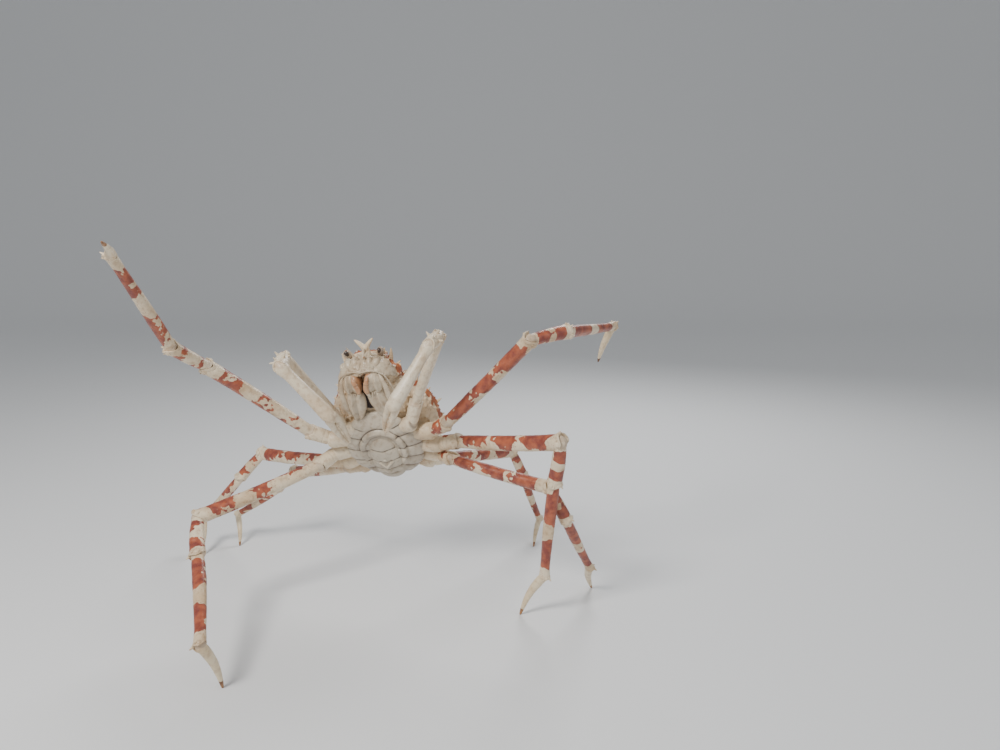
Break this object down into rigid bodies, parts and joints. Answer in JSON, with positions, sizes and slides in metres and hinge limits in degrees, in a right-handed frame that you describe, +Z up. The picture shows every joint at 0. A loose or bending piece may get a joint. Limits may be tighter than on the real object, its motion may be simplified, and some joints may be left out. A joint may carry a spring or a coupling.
{
  "type": "life-size japanese spider crab model",
  "caption": "Life-size japanese spider crab, reared up with its breast to the viewer, front legs raised and claws folded before the mouth.",
  "frame": {"origin": "middle of the bounding box, on the floor the feet stand on", "axes": "+Z up, the crab's breast and mouth face -Y, its own left side is toward +X"},
  "size_m": [1.1504, 0.854, 0.8725],
  "materials": {
    "back_shell": "satin, knobbed, orange-brown with pale tubercles",
    "underside_shell": "satin, grey cream",
    "eye": "glossy",
    "feeler": "satin",
    "claw_shell": "satin, cream",
    "joint_shell": "satin, cream with rust patches",
    "leg_shell": "satin, rust and cream bands",
    "dactyl_tip_shell": "satin, cream with brown tip"
  },
  "bodies": {
    "root": {"carapace": "back_shell", "sternum": "underside_shell", "abdomen": "underside_shell", "maxilliped_right": "underside_shell", "eye_right": "eye", "antenna_right": "feeler", "maxilliped_left": "underside_shell", "eye_left": "eye", "antenna_left": "feeler", "right_1_coxa": "claw_shell", "right_1_merus": "claw_shell", "right_1_carpus": "claw_shell", "right_1_palm": "claw_shell", "right_1_finger": "claw_shell", "right_2_coxa": "leg_shell", "right_2_merus": "leg_shell", "right_2_carpus": "joint_shell", "right_2_propodus": "leg_shell", "right_2_dactyl": "dactyl_tip_shell", "right_3_coxa": "leg_shell", "right_3_merus": "leg_shell", "right_3_carpus": "joint_shell", "right_3_propodus": "leg_shell", "right_3_dactyl": "dactyl_tip_shell", "right_4_coxa": "leg_shell", "right_4_merus": "leg_shell", "right_4_carpus": "joint_shell", "right_4_propodus": "leg_shell", "right_4_dactyl": "dactyl_tip_shell", "right_5_coxa": "leg_shell", "right_5_merus": "leg_shell", "right_5_carpus": "joint_shell", "right_5_propodus": "leg_shell", "right_5_dactyl": "dactyl_tip_shell", "left_1_coxa": "claw_shell", "left_1_merus": "claw_shell", "left_1_carpus": "claw_shell", "left_1_palm": "claw_shell", "left_1_finger": "claw_shell", "left_2_coxa": "leg_shell", "left_2_merus": "leg_shell", "left_2_carpus": "joint_shell", "left_2_propodus": "leg_shell", "left_2_dactyl": "dactyl_tip_shell", "left_3_coxa": "leg_shell", "left_3_merus": "leg_shell", "left_3_carpus": "joint_shell", "left_3_propodus": "leg_shell", "left_3_dactyl": "dactyl_tip_shell", "left_4_coxa": "leg_shell", "left_4_merus": "leg_shell", "left_4_carpus": "joint_shell", "left_4_propodus": "leg_shell", "left_4_dactyl": "dactyl_tip_shell", "left_5_coxa": "leg_shell", "left_5_merus": "leg_shell", "left_5_carpus": "joint_shell", "left_5_propodus": "leg_shell", "left_5_dactyl": "dactyl_tip_shell"}
  },
  "joints": []
}
